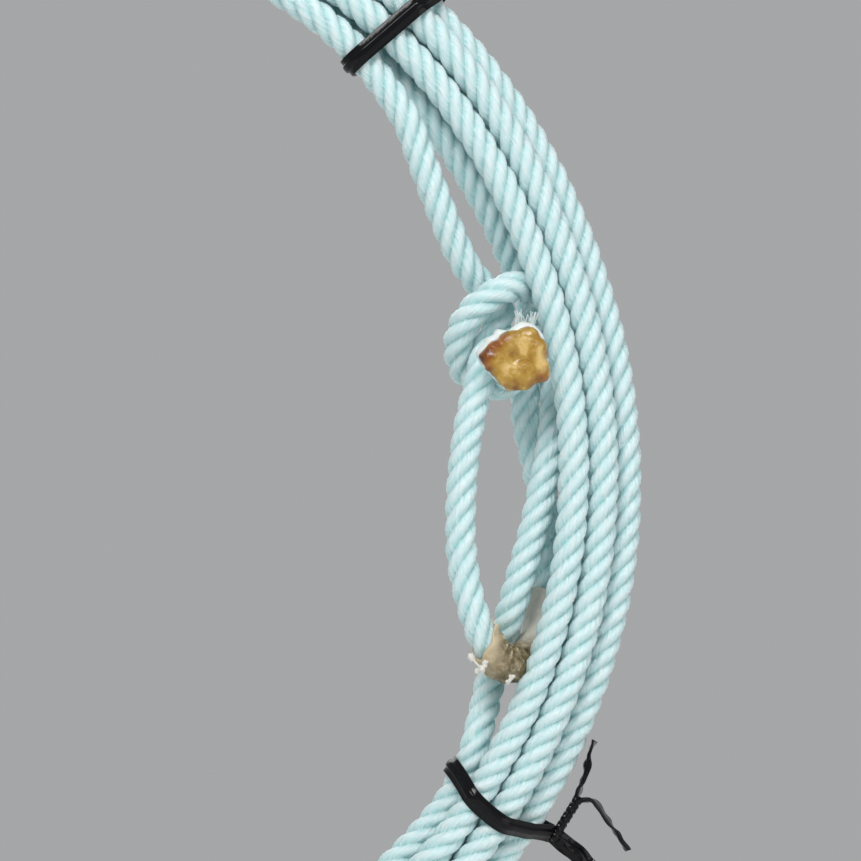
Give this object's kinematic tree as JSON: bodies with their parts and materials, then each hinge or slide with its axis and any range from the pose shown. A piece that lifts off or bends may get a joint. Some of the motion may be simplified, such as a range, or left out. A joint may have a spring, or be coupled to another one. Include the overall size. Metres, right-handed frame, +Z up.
{
  "type": "coiled roping lariat with a running eye",
  "caption": "Roping rope wound into a round coil, with a knotted running eye, a rawhide burner, a melted button and twist ties.",
  "frame": {"origin": "inner top of the coil, on its middle plane, where it rests on a peg", "axes": "+Z up, +Y from the front towards the wall behind, +X to the right seen from the front; the coil's axis is along Y"},
  "size_m": [0.3964, 0.0417, 0.3963],
  "materials": {
    "rope": "slightly glossy, slightly translucent laid nylon",
    "melted_nylon": "melted and scorched, glossy amber",
    "rawhide": "dry rawhide, wrinkled",
    "lacing": "waxed lace",
    "tie_plastic": "glossy black",
    "tie_wire": "drawn steel"
  },
  "bodies": {
    "coil": {"coil_turns": "rope", "front_turns": "rope", "running_turn": "rope", "eye_lead": "rope", "knot_wrap": "rope", "knot_tail": "rope", "eye_left_leg": "rope", "eye_bend": "rope", "eye_right_leg": "rope", "free_tail": "rope", "melted_button": "melted_nylon", "free_end_cap": "melted_nylon", "burner": "rawhide", "burner_lacing": "lacing"},
    "tie_1": {"tie_strap_1": "tie_plastic", "tie_wire_1": "tie_wire"},
    "pigtail_1": {"tie_pigtail_1": "tie_plastic"},
    "tie_2": {"tie_strap_2": "tie_plastic", "tie_wire_2": "tie_wire"},
    "pigtail_2": {"tie_pigtail_2": "tie_plastic"},
    "tie_3": {"tie_strap_3": "tie_plastic", "tie_wire_3": "tie_wire"},
    "pigtail_3": {"tie_pigtail_3": "tie_plastic"},
    "tie_4": {"tie_strap_4": "tie_plastic", "tie_wire_4": "tie_wire"},
    "pigtail_4": {"tie_pigtail_4": "tie_plastic"}
  },
  "joints": [
    {"name": "tie_1_slide_round", "type": "hinge", "parent": "coil", "child": "tie_1", "pos_m": [0, 0, -0.16445], "axis": [0, -1, 0], "range_deg": [0, 12]},
    {"name": "pigtail_1_bend", "type": "hinge", "parent": "tie_1", "child": "pigtail_1", "pos_m": [0.13845, 0, -0.01702], "axis": [0, -1, 0], "range_deg": [-55, 55]},
    {"name": "tie_2_slide_round", "type": "hinge", "parent": "coil", "child": "tie_2", "pos_m": [0, 0, -0.16445], "axis": [0, -1, 0], "range_deg": [-12, 12]},
    {"name": "pigtail_2_bend", "type": "hinge", "parent": "tie_2", "child": "pigtail_2", "pos_m": [-0.15584, 0, -0.03553], "axis": [0, -1, 0], "range_deg": [-55, 55]},
    {"name": "tie_3_slide_round", "type": "hinge", "parent": "coil", "child": "tie_3", "pos_m": [0, 0, -0.16445], "axis": [0, -1, 0], "range_deg": [-12, 12]},
    {"name": "pigtail_3_bend", "type": "hinge", "parent": "tie_3", "child": "pigtail_3", "pos_m": [-0.11888, 0, -0.32807], "axis": [0, -1, 0], "range_deg": [-55, 55]},
    {"name": "tie_4_slide_round", "type": "hinge", "parent": "coil", "child": "tie_4", "pos_m": [0, 0, -0.16445], "axis": [0, -1, 0], "range_deg": [-12, 0]},
    {"name": "pigtail_4_bend", "type": "hinge", "parent": "tie_4", "child": "pigtail_4", "pos_m": [0.17095, 0, -0.27252], "axis": [0, -1, 0], "range_deg": [-70, 0]}
  ]
}
